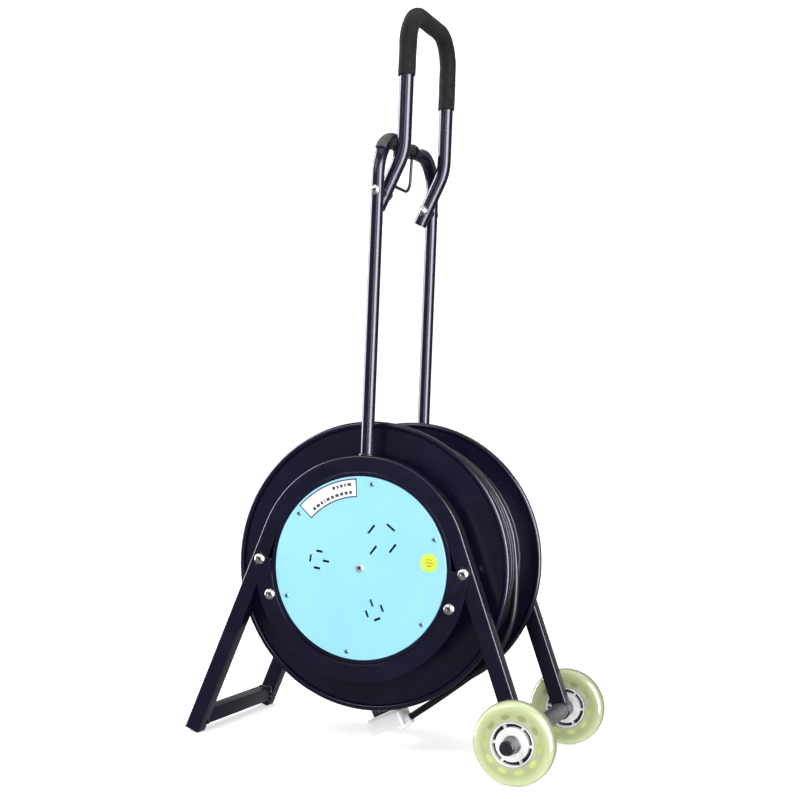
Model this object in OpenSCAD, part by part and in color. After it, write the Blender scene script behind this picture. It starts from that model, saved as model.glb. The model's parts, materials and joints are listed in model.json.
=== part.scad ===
// Two-wheeled trolley cable reel: a cable drum with a socket panel in its hub, turning in two hoops
// of a square-tube A-frame, with a tall tube handle and a folding loop handle.
// Front is -Y, the wheels are on the +X side, the floor is z = 0.

/* [Drum] */
// Outer radius of the rolled rim of a drum flange
flange_r = 180.5; // [160:0.5:182]
// Overall width of the drum over both rims
drum_w = 158; // [140:2:170]
// Radius of the rolled bead round a flange
rim_r = 4; // [3:0.5:5]
// Outer radius of the drum core, where the cable starts
core_r = 112; // [90:1:112]
// Outer radius of the full layers of cable
wound_r = 164; // [140:1:168]
// Outer radius beside the last, half-finished layer
step_r = 155; // [130:1:159]
// Outer radius of the hub shells that turn in the hoops
hub_r = 113; // [106:0.5:115]

/* [Frame] */
// Side of the square tube
tube_s = 20; // [16:1:22]
// Wall of the square and round tubes
wall = 1.5; // [1:0.1:2]
// Outer radius of the top arc and of the lower half hoop
hoop_r = 138; // [132:1:150]
// Gap between a drum rim and the frame beside it
side_gap = 15; // [10:1:25]
// Angle of each straight leg from the frame's own vertical
leg_angle = 20.9; // [15:0.1:26]
// Length of a left leg from the end of the top arc to its foot
leg_len = 286.5; // [240:0.5:320]
// Lean of the standing frame, towards the feet
lean = 1.8; // [0:0.1:3]
// Side of the foot crossbar
bar_s = 18; // [14:1:20]

/* [Wheels] */
// Wheel radius
wheel_r = 50; // [45:1:55]
// Wheel width
wheel_w = 24; // [20:1:30]
// Radius of the white hub inside the soft tyre
wheel_hub_r = 26; // [22:1:30]

/* [Handles] */
// Outer radius of the tall handle's tube
grip_tube_r = 8; // [7:0.5:9]
// Outer radius of the loop handle's tube
loop_tube_r = 9; // [7:0.5:9]
// Height of the arch's centre line above the drum axis
arch_h = 535; // [500:5:560]
// Bend radius of the arch's corners
arch_bend = 50; // [40:1:60]
// Sideways offset of the loop handle's upper legs
loop_off = 23.5; // [21:0.5:26]
// Angle of the loop handle's lower legs
dogleg = 24; // [20:1:30]
// Height of the loop handle's dog-leg above the drum axis
dogleg_h = 518; // [505:1:525]
// Height of the loop handle's top centre line above the drum axis
loop_top = 697; // [680:1:730]
// Distance of a loop leg's centre from the middle of the drum
loop_y = 79; // [74:1:86]
// Bend radius of the loop handle's top corners
loop_bend = 42; // [38:1:60]
// Outer radius of the foam grip
foam_r = 11; // [10:0.5:13]

/* [Socket panel] */
// Panel radius
panel_r = 112.5; // [104:0.5:112.5]
// Panel thickness
panel_t = 3; // [2:0.5:4]
// Radius of the circle of panel screws
screw_pcr = 104; // [100:0.5:105]
// Angle of the first socket, the large one
socket_a0 = 55; // [0:5:355]
// Distance of the large socket's centre from the panel's centre
large_at = 47; // [44:1:50]
// Distance of a small socket's centre from the panel's centre
small_at = 55.5; // [52:0.5:58]

/* [Cord] */
// Cable diameter
cord_d = 9; // [7:0.5:10]

/* [Hidden] */
$fn = 64;

navy = "#23233a";
black = "#161618";
steel = "#b9bcc2";
grey = "#8b8d92";
cyan = "#9fe6f2";
white = "#eeeeea";
brass = "#b5934a";
soft = "#d6e58f";

// Stations along the drum axis
flange_y = drum_w / 2;
rim_y = flange_y - rim_r;
sheet = 2;
sheet_y = rim_y - sheet / 2;
tube_in = flange_y + side_gap;
tube_out = tube_in + tube_s;
tube_mid = tube_in + tube_s / 2;
hoop_ri = hoop_r - tube_s;
panel_y = tube_out + 1;
run_gap = 0.1;
apart = 0.3;
bite = 1;

// The standing frame: a leg's centre line, the axle on it, and where they bring the drum axis
leg_mid = hoop_r - tube_s / 2;
foot_flat = 0.6;
axis_h = leg_len * cos(leg_angle - lean) - hoop_ri * sin(leg_angle - lean) - foot_flat;
axle_t = (leg_mid * sin(leg_angle + lean) + axis_h - wheel_r) / cos(leg_angle + lean);
axle_tube_r = 10.5;
rod_r = 4;
bearing_r = 11;
collar_r = 9.3;
collar_t = 20;
cap_r = 8.5;
cap_h = 4;
slot_tilt = 67;
wheel_out = tube_out + 3 + wheel_w;
axle_x = leg_mid * cos(leg_angle + lean) + axle_t * sin(leg_angle + lean);
foot_x = -(hoop_r * cos(leg_angle - lean) + leg_len * sin(leg_angle - lean));
axis_x = -(axle_x + wheel_r + foot_x) / 2;
wheel_y = tube_out + 3 + wheel_w / 2;
bar_z = 18;
bar_t = (axis_h - bar_z + leg_mid * sin(leg_angle - lean)) / cos(leg_angle - lean);
bar_x = -(leg_mid * cos(leg_angle - lean) + bar_t * sin(leg_angle - lean));

// The loop handle's dog-leg and pivot, in the frame's own plane
pivot_h = dogleg_h - loop_off / tan(dogleg);
dog_bend = 70;
dog_tan = dog_bend * tan(dogleg / 2);
tail = 20;
foam_ends = [613, 602];
bolt_r = 4;
hoop_bolts_at = [[134, 2], [118, -41]];
strap_end = 2;
strap_eye = 9;
strap_t = 2;
strap_inset = 0.5;
strap_lip = 1.5;
bail_r = 2;
bail_y = [-48, 16];
bail_drop = 54;
bail_bend = 16;

// Rings of slots in the small and large sockets
small_ring = 10.5;
small_len = 9;
large_ring = 18;
large_len = 13.5;
slot_w = 3;

// Slotted screws of the panel and the rear cover
screw_r = 2;
screw_head = 3.2;
screw_rise = 1.6;
screw_slot = 0.8;

// The folding crank on the rear cover
crank_at = 88;
crank_y = tube_out + 14;
shank_r = 5;
crank_len = 75;

// Route of the free cord: points from the drum's axis, on the drum's last turn, then down to the plug
cord_y = 17;
route = [[28, cord_y, 158], [68, cord_y, 145], [103, cord_y, 123], [131, cord_y, 92],
         [151, cord_y, 55], [160, cord_y, 14], [163, cord_y, -22], [161, cord_y, -60],
         [150, cord_y, -93], [133, cord_y, -119], [108, cord_y, -141], [82, 16, -163],
         [60, 15, -181], [46, 14, -192], [36, 14, -200]];
plug_w = 50;
plug_d = 44;
plug_h = 23;
plug_lid = 4;
plug_corner = 8;
plug_step = 3;
plug_foot = [-9, 14];
plug_tilt = 30;
blade_at = 20;
blade_ring = 10.5;
blade = [2, 8, 18];
cord_slope = atan2(8, 10);
clamp_r = 8.5;
clamp_len = 20;
clamp_in = 30;

// ---- helpers -------------------------------------------------------------------------------

// Places children given from the drum axis
module at_axis() {
    translate([axis_x, 0, axis_h]) children();
}

// Places children given in the leaning frame, from the drum axis
module in_frame() {
    at_axis() rotate([0, -lean, 0]) children();
}

// A cylinder along Y
module rod_y(r, y0, y1) {
    translate([0, y1, 0]) rotate([90, 0, 0]) cylinder(r = r, h = y1 - y0);
}

// A ring or tube along Y
module ring_y(ri, ro, y0, y1) {
    difference() {
        rod_y(ro, y0, y1);
        rod_y(ri, y0 - bite, y1 + bite);
    }
}

// A hollow square tube bent round Y, between two angles from +X towards +Z
module bent_square(a0, a1) {
    rotate([90, 0, 0]) rotate([0, 0, a0]) rotate_extrude(angle = a1 - a0)
        translate([hoop_ri, -tube_s / 2]) difference() {
            square(tube_s);
            translate([wall, wall]) square(tube_s - 2 * wall);
        }
}

// A hollow square leg, from the arc's end down to a length
module leg(len) {
    rotate([0, -leg_angle, 0]) translate([hoop_ri, -tube_s / 2, -len]) difference() {
        cube([tube_s, tube_s, len]);
        translate([wall, wall, -bite]) cube([tube_s - 2 * wall, tube_s - 2 * wall, len + 2 * bite]);
    }
}

// A quarter or smaller bend of round tube in the YZ plane, angles from +Y towards +Z
module bend_yz(bend, ri, ro, a0, a1) {
    rotate([90, 0, 90]) rotate([0, 0, a0]) rotate_extrude(angle = a1 - a0)
        translate([bend, 0]) difference() {
            circle(ro);
            if (ri > 0) circle(ri);
        }
}

// A straight round tube along Z
module tube_z(ri, ro, z0, z1) {
    translate([0, 0, z0]) difference() {
        cylinder(r = ro, h = z1 - z0);
        if (ri > 0) translate([0, 0, -bite]) cylinder(r = ri, h = z1 - z0 + 2 * bite);
    }
}

// A domed round head on the -Y side of y, of a given radius and height
module dome_y(r, h, y) {
    big = (r * r + h * h) / (2 * h);
    intersection() {
        translate([0, y - h + big, 0]) sphere(big);
        rod_y(r, y - h - bite, y);
    }
}

// Children on both sides of the drum's middle plane
module both_sides() {
    children();
    mirror([0, 1, 0]) children();
}

// Children at each of the four hoop joints' bolts, on the front frame
module at_hoop_bolts() {
    for (p = hoop_bolts_at, side = [-1, 1]) translate([side * p[0], 0, p[1]]) children();
}

// ---- frame ---------------------------------------------------------------------------------

module frame_arch() {
    difference() {
        union() {
            bent_square(leg_angle, 180 - leg_angle);
            leg(axle_t);
            mirror([1, 0, 0]) leg(leg_len - sheet);
        }
        rotate([0, -leg_angle, 0]) translate([leg_mid, 0, -axle_t])
            rod_y(axle_tube_r, -tube_s, tube_s);
        at_hoop_bolts() rod_y(bolt_r, -tube_s, tube_s);
    }
}

module front_frame() {
    color(navy) in_frame() translate([0, -tube_mid, 0]) frame_arch();
}

module rear_frame() {
    color(navy) in_frame() translate([0, tube_mid, 0]) frame_arch();
}

// The lower half hoop is mitred against the inner faces of both legs
module lower_hoop() {
    difference() {
        bent_square(-195, 15);
        for (side = [0, 1]) mirror([side, 0, 0])
            rotate([0, -leg_angle, 0]) translate([hoop_ri, -tube_s, -hoop_r])
                cube([hoop_r, 2 * tube_s, 2 * hoop_r]);
        at_hoop_bolts() rod_y(bolt_r, -tube_s, tube_s);
    }
}

module front_lower_hoop() {
    color(navy) in_frame() translate([0, -tube_mid, 0]) lower_hoop();
}

module rear_lower_hoop() {
    color(navy) in_frame() translate([0, tube_mid, 0]) lower_hoop();
}

// A flat strap along the lower half hoop, with round ends over its joints with the legs
module hoop_strap() {
    sweep = 180 + 2 * strap_end;
    strap_w = hoop_r + strap_lip - hoop_ri - strap_inset;
    difference() {
        union() {
            rotate([90, 0, 0]) rotate([0, 0, strap_end - sweep]) rotate_extrude(angle = sweep)
                translate([hoop_ri + strap_inset, 0]) square([strap_w, strap_t]);
            for (side = [-1, 1]) translate([side * hoop_bolts_at[0][0], 0, hoop_bolts_at[0][1]])
                rod_y(strap_eye, -strap_t, 0);
        }
        at_hoop_bolts() rod_y(bolt_r, -tube_s, tube_s);
    }
}

module joint_plates() {
    color(navy) in_frame() both_sides() translate([0, -tube_out, 0]) hoop_strap();
}

module hoop_bolts() {
    color(steel) in_frame() both_sides() at_hoop_bolts() {
        dome_y(7, 4.5, -tube_out - strap_t);
        rod_y(bolt_r, -tube_out - strap_t, -tube_in + 7);
    }
}

module hoop_nuts() {
    color(steel) in_frame() both_sides() at_hoop_bolts() difference() {
        translate([0, -tube_in + 6, 0]) rotate([90, 0, 0]) cylinder(r = 7, h = 6, $fn = 6);
        rod_y(bolt_r, -tube_out, -tube_in + 10);
    }
}

// Square plugs in the left legs, cut flat where they stand on the floor
module foot_plugs() {
    color(black) difference() {
        in_frame() both_sides() translate([0, -tube_mid, 0]) mirror([1, 0, 0])
            rotate([0, -leg_angle, 0]) translate([hoop_ri, -tube_s / 2, -leg_len]) {
                cube([tube_s, tube_s, sheet]);
                translate([wall, wall, 0]) cube([tube_s - 2 * wall, tube_s - 2 * wall, 18]);
            }
        translate([-400, -200, -20]) cube([400, 400, 20]);
    }
}

module foot_crossbar() {
    color(navy) translate([axis_x + bar_x - bar_s / 2, -tube_in, bar_z - bar_s / 2]) difference() {
        cube([bar_s, 2 * tube_in, bar_s]);
        translate([wall, -bite, wall]) cube([bar_s - 2 * wall, 2 * tube_in + 2 * bite, bar_s - 2 * wall]);
    }
}

// ---- axle and wheels -----------------------------------------------------------------------

module at_axle() {
    translate([axis_x + axle_x, 0, wheel_r]) children();
}

module axle_tube() {
    color(grey) at_axle() ring_y(rod_r, axle_tube_r, -tube_out, tube_out);
}

module axle_rod() {
    rod_end = wheel_out + 0.5 + collar_t + cap_h / 2;
    color(steel) at_axle() rod_y(rod_r, -rod_end, rod_end);
}

// Thin collars inside the wheels and thicker ones outside them
module axle_collars() {
    color(grey) at_axle() both_sides() {
        ring_y(rod_r, 7, -tube_out - 2.5, -tube_out);
        ring_y(rod_r, collar_r, -wheel_out - 0.5 - collar_t, -wheel_out - 0.5);
    }
}

// Slotted caps on the ends of the axle rod
module axle_caps() {
    cap_y = -wheel_out - 0.5 - collar_t;
    edge = 1;
    slot = 2;
    color(black) at_axle() both_sides() difference() {
        union() {
            rod_y(cap_r, cap_y - cap_h + edge, cap_y);
            translate([0, cap_y - cap_h + edge, 0]) rotate([90, 0, 0])
                cylinder(r1 = cap_r, r2 = cap_r - edge, h = edge);
        }
        rod_y(rod_r, cap_y - cap_h / 2, cap_y + bite);
        rotate([0, slot_tilt, 0]) translate([-cap_r - bite, cap_y - cap_h - bite, -slot / 2])
            cube([2 * (cap_r + bite), bite + 1.2, slot]);
    }
}

// Soft tyre with rounded shoulders
module tyre() {
    shoulder = 7;
    at_axle() rotate([90, 0, 0]) rotate_extrude() union() {
        translate([wheel_hub_r, -wheel_w / 2])
            square([wheel_r - wheel_hub_r - shoulder, wheel_w]);
        translate([wheel_hub_r, -wheel_w / 2 + shoulder])
            square([wheel_r - wheel_hub_r, wheel_w - 2 * shoulder]);
        for (s = [-1, 1]) translate([wheel_r - shoulder, s * (wheel_w / 2 - shoulder)])
            circle(shoulder);
    }
}

// Moulded hub with a thin rim, a thick boss and six narrow spokes across the gap between them
module wheel_hub() {
    rim_t = 1.5;
    gap = 4.5;
    boss_r = wheel_hub_r - rim_t - gap;
    spoke_w = 3;
    at_axle() difference() {
        union() {
            ring_y(wheel_hub_r - rim_t, wheel_hub_r, -wheel_w / 2, wheel_w / 2);
            rod_y(boss_r, -wheel_w / 2, wheel_w / 2);
            rod_y(wheel_hub_r - rim_t / 2, -2, 2);
            for (a = [0:60:300]) rotate([0, a, 0])
                translate([boss_r - bite, -wheel_w / 2 + 3, -spoke_w / 2])
                    cube([gap + bite + rim_t / 2, wheel_w - 6, spoke_w]);
        }
        rod_y(bearing_r, -wheel_w, wheel_w);
    }
}

module wheel_bearings() {
    at_axle() for (s = [-1, 1]) translate([0, s * (wheel_w / 2 - 3.5), 0])
        ring_y(rod_r + run_gap, bearing_r, -3.5, 3.5);
}

module front_tyre() {
    color(soft) translate([0, -wheel_y, 0]) tyre();
}

module front_wheel_hub() {
    color(white) translate([0, -wheel_y, 0]) wheel_hub();
}

module front_wheel_bearings() {
    color(steel) translate([0, -wheel_y, 0]) wheel_bearings();
}

module rear_tyre() {
    color(soft) translate([0, wheel_y, 0]) tyre();
}

module rear_wheel_hub() {
    color(white) translate([0, wheel_y, 0]) wheel_hub();
}

module rear_wheel_bearings() {
    color(steel) translate([0, wheel_y, 0]) wheel_bearings();
}

// ---- bearing rings between the hoops and the hub shells --------------------------------------

module front_bearing_ring() {
    color(navy) at_axis() ring_y(hub_r + run_gap, hoop_ri, -tube_out, -tube_in);
}

module rear_bearing_ring() {
    color(navy) at_axis() ring_y(hub_r + run_gap, hoop_ri, tube_in, tube_out);
}

// ---- tall handle ---------------------------------------------------------------------------

// An inverted U of round tube that stands on both frames
module main_handle() {
    corner_z = arch_h - arch_bend;
    ri = grip_tube_r - wall;
    color(navy) in_frame() difference() {
        union() {
            both_sides() {
                translate([0, -tube_mid, 0]) tube_z(ri, grip_tube_r, hoop_r - 4, corner_z);
                translate([0, -tube_mid + arch_bend, corner_z])
                    bend_yz(arch_bend, ri, grip_tube_r, 90, 180);
            }
            translate([0, 0, arch_h]) ring_y(ri, grip_tube_r, -tube_mid + arch_bend, tube_mid - arch_bend);
        }
        rod_y(hoop_r, -tube_out - 5, tube_out + 5);
        translate([0, 0, pivot_h]) rod_y(bolt_r, -tube_out - 5, tube_out + 5);
    }
}

// Weld collars at the handle's feet
module handle_welds() {
    color(navy) in_frame() both_sides() translate([0, -tube_mid, 0])
        tube_z(grip_tube_r, grip_tube_r + 1.8, hoop_r, hoop_r + 2.5);
}

// Rubber strips along the outer side of the arch's corners, where the loop handle comes to rest
module arch_buffers() {
    strip_r = grip_tube_r + 3;
    reach = 2 * strip_r;
    color(black) in_frame() both_sides()
        translate([0, -tube_mid + arch_bend, arch_h - arch_bend])
            rotate([90, 0, 90]) rotate([0, 0, 90]) rotate_extrude(angle = 52)
                translate([arch_bend, 0]) intersection() {
                    difference() {
                        circle(strip_r);
                        circle(grip_tube_r);
                    }
                    polygon([[0, 0], [reach, -reach], [reach, reach]]);
                }
}

module pivot_bolts() {
    color(steel) in_frame() translate([0, 0, pivot_h]) both_sides() {
        dome_y(6.5, 4.5, -tube_mid - grip_tube_r);
        rod_y(bolt_r, -tube_mid - grip_tube_r, -loop_y + loop_tube_r + 6);
    }
}

// Domed nuts on the inner sides of the loop handle's legs
module pivot_nuts() {
    nut_y = loop_y - loop_tube_r - apart;
    color(steel) in_frame() translate([0, 0, pivot_h]) both_sides() difference() {
        union() {
            translate([0, nut_y, 0]) rotate([90, 0, 0]) cylinder(r = 7, h = 4, $fn = 6);
            dome_y(6, 4.5, nut_y - 4);
        }
        rod_y(bolt_r, loop_y - loop_tube_r - 6, loop_y);
    }
}

// Plastic spacers between the two handles' legs
module pivot_washers() {
    color(black) in_frame() translate([0, 0, pivot_h]) both_sides()
        ring_y(bolt_r, 6.5, -tube_mid + grip_tube_r, -loop_y - loop_tube_r - apart);
}

// ---- folding loop handle -------------------------------------------------------------------

// One leg of the loop, from the top corner down through the dog-leg bend to the tail past the pivot
module loop_leg(ri, ro) {
    bend_z = dogleg_h + dog_tan;
    run = (dogleg_h - pivot_h) / cos(dogleg) - dog_tan + tail;
    translate([loop_off - dog_bend, 0, bend_z]) {
        rotate([90, 0, 0]) rotate([0, 0, -dogleg]) {
            rotate_extrude(angle = dogleg) translate([dog_bend, 0]) difference() {
                circle(ro);
                circle(ri);
            }
            translate([dog_bend, 0, 0]) rotate([90, 0, 0]) tube_z(ri, ro, 0, run);
        }
        translate([dog_bend, 0, 0]) tube_z(ri, ro, 0, loop_top - loop_bend - bend_z);
    }
}

module loop_handle() {
    ri = loop_tube_r - wall;
    corner_z = loop_top - loop_bend;
    color(navy) in_frame() difference() {
        union() {
            both_sides() {
                translate([0, -loop_y, 0]) loop_leg(ri, loop_tube_r);
                translate([loop_off, -loop_y + loop_bend, corner_z])
                    bend_yz(loop_bend, ri, loop_tube_r, 90, 180);
            }
            translate([loop_off, 0, loop_top]) ring_y(ri, loop_tube_r, -loop_y + loop_bend, loop_y - loop_bend);
        }
        translate([0, 0, pivot_h]) rod_y(bolt_r + run_gap, -tube_out, tube_out);
    }
}

// The foam sleeve reaches lower down the rear leg
module foam_grip() {
    corner_z = loop_top - loop_bend;
    color(black) in_frame() translate([loop_off, 0, 0]) {
        for (side = [0, 1]) mirror([0, side, 0]) {
            translate([0, -loop_y, 0]) tube_z(loop_tube_r, foam_r, foam_ends[side], corner_z);
            translate([0, -loop_y + loop_bend, corner_z]) bend_yz(loop_bend, loop_tube_r, foam_r, 90, 180);
        }
        translate([0, 0, loop_top]) ring_y(loop_tube_r, foam_r, -loop_y + loop_bend, loop_y - loop_bend);
    }
}

// A wire bail that hangs from the arch by two thin bands
module lock_bail() {
    band_r = grip_tube_r + 2;
    band_w = bail_r + 0.5;
    low = -bail_drop + bail_bend;
    color(black) in_frame() translate([0, 0, arch_h]) rotate([0, lean, 0]) {
        for (y = bail_y) translate([0, y, 0]) {
            ring_y(grip_tube_r + apart, band_r, -band_w, band_w);
            tube_z(0, bail_r, low, 1 - band_r);
        }
        translate([0, bail_y[0] + bail_bend, low]) bend_yz(bail_bend, 0, bail_r, 180, 270);
        translate([0, bail_y[1] - bail_bend, low]) bend_yz(bail_bend, 0, bail_r, 270, 360);
        translate([0, 0, -bail_drop]) rod_y(bail_r, bail_y[0] + bail_bend, bail_y[1] - bail_bend);
    }
}

// ---- drum ----------------------------------------------------------------------------------

// A sheet-steel flange with a rolled rim
module flange() {
    difference() {
        union() {
            ring_y(60, flange_r - rim_r, -sheet_y - sheet / 2, -sheet_y + sheet / 2);
            translate([0, -rim_y, 0]) rotate([90, 0, 0]) rotate_extrude()
                translate([flange_r - rim_r, 0]) circle(rim_r);
        }
        at_hub_bolts() rod_y(3, -flange_y - 5, -flange_y + 20);
    }
}

module front_flange() {
    color(navy) at_axis() flange();
}

module rear_flange() {
    color(navy) at_axis() mirror([0, 1, 0]) flange();
}

module drum_core() {
    inner = sheet_y - sheet / 2;
    color(navy) at_axis() difference() {
        ring_y(core_r - 2, core_r, -inner, inner);
        rotate([0, 30, 0]) tube_z(0, 7, 0, core_r + 5);
    }
}

// Rubber gland where the cable passes through the core
module core_gland() {
    color(black) at_axis() intersection() {
        rotate([0, 30, 0]) tube_z(cord_d / 2, 7, core_r - 14, core_r + 5);
        rod_y(core_r, -20, 20);
    }
}

module at_hub_bolts() {
    for (a = [0:60:300]) rotate([0, a, 0]) translate([88, 0, 0]) children();
}

// A hub shell: a cylinder with a foot on the flange and a lip for the panel or cover
module hub_shell() {
    foot = -sheet_y - sheet / 2;
    difference() {
        union() {
            ring_y(hub_r - 3, hub_r, -panel_y + panel_t, foot);
            ring_y(60, hub_r - 2, foot - 2, foot);
            ring_y(hub_r - 15, hub_r - 2, -panel_y + panel_t, -panel_y + panel_t + 3);
        }
        at_hub_bolts() rod_y(3, -tube_out, 0);
        at_panel_screws() rod_y(screw_r, -tube_out, -tube_in);
    }
}

module front_hub() {
    color(navy) at_axis() hub_shell();
}

module rear_hub() {
    color(navy) at_axis() mirror([0, 1, 0]) hub_shell();
}

module hub_bolts() {
    head_y = -sheet_y - sheet / 2 - 2;
    color(steel) at_axis() both_sides() at_hub_bolts() {
        dome_y(6, 3.5, head_y);
        rod_y(3, head_y, -sheet_y + sheet / 2 + 3);
    }
}

// All turns of the stored cable as one ring, lower beside the unfinished last layer
module cable_winding() {
    side = sheet_y - sheet / 2;
    step_y = cord_y - cord_d / 2 - apart;
    color(black) at_axis() {
        ring_y(core_r, wound_r, -side, step_y);
        ring_y(core_r, step_r, step_y, side);
    }
}

module tie_rod() {
    color(steel) at_axis() {
        rod_y(rod_r, -panel_y, panel_y + 8);
        dome_y(6, 3, -panel_y);
    }
}

module tie_rod_nuts() {
    color(steel) at_axis() difference() {
        for (y = [-panel_y + panel_t, panel_y + 6.5]) translate([0, y, 0])
            rotate([y < 0 ? -90 : 90, 0, 0]) cylinder(r = 7, h = 6.5, $fn = 6);
        rod_y(rod_r, -tube_out, tube_out + 10);
    }
}

// Screw-terminal block on the inner side of the front flange
module terminal_block() {
    foot = -sheet_y + sheet / 2;
    color(white) at_axis() translate([-20, foot, -106]) difference() {
        cube([40, 22, 18]);
        for (x = [5:10:35]) translate([x, 16, -bite]) cylinder(r = 2.5, h = 30);
    }
}

// ---- socket panel --------------------------------------------------------------------------

module at_panel_screws() {
    for (a = [0:60:300]) rotate([0, -a - 25, 0]) translate([screw_pcr, 0, 0]) children();
}

// Places children at a socket: +X outward, at a distance from the centre
module at_socket(index, at) {
    rotate([0, -socket_a0 - 120 * index, 0]) translate([at, 0, 0]) children();
}

// The four slots of a socket: the earth slot lies across the others on the outer side
module slots(ring, len, w, y0, y1) {
    for (p = [[ring, 0, w, len], [-ring, 0, len, w], [0, ring, len, w], [0, -ring, len, w]])
        translate([p[0] - p[2] / 2, y0, p[1] - p[3] / 2]) cube([p[2], y1 - y0, p[3]]);
}

module large_slots(w, y0, y1) {
    at_socket(0, large_at) slots(large_ring, large_len, w, y0, y1);
}

module small_slots(index, w, y0, y1) {
    at_socket(index, small_at) slots(small_ring, small_len, w, y0, y1);
}

module socket_panel() {
    color(cyan) at_axis() difference() {
        rod_y(panel_r, -panel_y, -panel_y + panel_t);
        large_slots(slot_w, -panel_y - bite, -panel_y + panel_t + bite);
        for (i = [1, 2]) small_slots(i, slot_w, -panel_y - bite, -panel_y + panel_t + bite);
        at_panel_screws() rod_y(screw_r, -panel_y - bite, 0);
        rod_y(rod_r, -panel_y - bite, 0);
    }
}

// A moulded socket body behind the panel, with a pocket behind each slot
module socket_body(r) {
    rod_y(r, -panel_y + panel_t, -panel_y + panel_t + 22);
}

module large_socket() {
    color(black) at_axis() difference() {
        at_socket(0, large_at) socket_body(28);
        large_slots(slot_w + 2, -panel_y, -panel_y + panel_t + 18);
    }
}

module small_socket(index) {
    color(black) at_axis() difference() {
        at_socket(index, small_at) socket_body(19);
        small_slots(index, slot_w + 2, -panel_y, -panel_y + panel_t + 18);
    }
}

module left_socket() {
    small_socket(1);
}

module lower_socket() {
    small_socket(2);
}

// A sprung brass strip on one wall of each pocket
module socket_contacts() {
    strip = 0.8;
    y0 = -panel_y + panel_t + 2;
    y1 = y0 + 15;
    color(brass) at_axis() {
        at_socket(0, large_at) contact_strips(large_ring, large_len, strip, y0, y1);
        for (i = [1, 2]) at_socket(i, small_at) contact_strips(small_ring, small_len, strip, y0, y1);
    }
}

module contact_strips(ring, len, strip, y0, y1) {
    side = (slot_w + 2) / 2 - strip;
    translate([ring + side, y0, -len / 2]) cube([strip, y1 - y0, len]);
    for (p = [[-ring, 0], [0, ring], [0, -ring]])
        translate([p[0] - len / 2, y0, p[1] + side]) cube([len, y1 - y0, strip]);
}

// Slotted round-head screws, given at the front
module slotted_screws() {
    at_panel_screws() difference() {
        union() {
            dome_y(screw_head, screw_rise, -panel_y);
            rod_y(screw_r, -panel_y, -panel_y + panel_t + 3);
        }
        translate([-screw_head - bite, -panel_y - screw_rise - bite, -screw_slot / 2])
            cube([2 * (screw_head + bite), bite + 0.7, screw_slot]);
    }
}

module panel_screws() {
    color(steel) at_axis() slotted_screws();
}

// A plain arc label and a round sticker, both flat on the panel
module panel_label() {
    color(white) at_axis() rotate([90, 0, 0]) rotate([0, 0, 96]) rotate_extrude(angle = 45)
        translate([87, panel_y]) square([23, 0.3]);
}

module panel_sticker() {
    color(soft) at_axis() rotate([0, -9.6, 0]) translate([91, 0, 0])
        rod_y(11, -panel_y - 0.3, -panel_y);
}

// ---- rear cover and folding crank ------------------------------------------------------------

module rear_cover() {
    color(black) at_axis() difference() {
        rod_y(panel_r, panel_y - panel_t, panel_y);
        mirror([0, 1, 0]) at_panel_screws() rod_y(screw_r, -panel_y - bite, 0);
        rod_y(rod_r, 0, panel_y + bite);
    }
}

module cover_screws() {
    color(steel) at_axis() mirror([0, 1, 0]) slotted_screws();
}

module crank_bracket() {
    ear_in = shank_r + apart;
    color(grey) at_axis() difference() {
        union() {
            translate([-14, panel_y, -crank_at - 10]) cube([28, 3, 20]);
            for (side = [0, 1]) mirror([side, 0, 0])
                translate([ear_in, panel_y, -crank_at - 8]) cube([4, crank_y - panel_y + 8, 16]);
        }
        translate([-30, crank_y, -crank_at]) rotate([0, 90, 0]) cylinder(r = 3, h = 60);
    }
}

module crank_pin() {
    color(steel) at_axis() translate([-11, crank_y, -crank_at]) rotate([0, 90, 0])
        cylinder(r = 3, h = 22);
}

// The crank's shank lies folded towards the hub's centre
module crank_shank() {
    color(grey) at_axis() translate([0, crank_y, -crank_at]) difference() {
        union() {
            translate([-shank_r, 0, 0]) rotate([0, 90, 0]) cylinder(r = 8, h = 2 * shank_r);
            tube_z(0, shank_r, 4, crank_len);
            tube_z(0, 7, crank_len, crank_len + 3);
        }
        translate([-20, 0, 0]) rotate([0, 90, 0]) cylinder(r = 3 + run_gap, h = 40);
    }
}

module crank_grip() {
    color(black) at_axis() translate([0, crank_y, -crank_at])
        tube_z(shank_r + run_gap, 11.5, 13, crank_len - apart);
}

// ---- free cord and plug ----------------------------------------------------------------------

// Points of a smooth curve through a route, a few steps to each stretch
function spline(p, i, t) =
    let (n = len(p) - 1,
         a = p[max(i - 1, 0)], b = p[i], c = p[i + 1], d = p[min(i + 2, n)])
    0.5 * (2 * b + (c - a) * t + (2 * a - 5 * b + 4 * c - d) * t * t
           + (3 * b - a - 3 * c + d) * t * t * t);
function path(p, steps) =
    [for (i = [0:len(p) - 2], k = [0:steps - 1]) spline(p, i, k / steps), p[len(p) - 1]];
function unit(v) = v / norm(v);
function heading(p, i) = unit(p[min(i + 1, len(p) - 1)] - p[max(i - 1, 0)]);

// A tube swept along a path that stays close to the XZ plane
module swept(p, r, sides) {
    n = len(p);
    rings = [for (i = [0:n - 1])
        let (f = heading(p, i), u = unit(cross(f, [0, 1, 0])), v = cross(f, u))
        for (k = [0:sides - 1])
            p[i] + r * (cos(360 * k / sides) * u + sin(360 * k / sides) * v)];
    walls = [for (i = [0:n - 2], k = [0:sides - 1])
        let (k2 = (k + 1) % sides)
        [i * sides + k, i * sides + k2, (i + 1) * sides + k2, (i + 1) * sides + k]];
    first = [for (k = [sides - 1:-1:0]) k];
    last = [for (k = [0:sides - 1]) (n - 1) * sides + k];
    polyhedron(rings, concat([first], walls, [last]));
}

module free_cord() {
    color(black) at_axis() swept(path(route, 3), cord_d / 2, 10);
}

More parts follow.
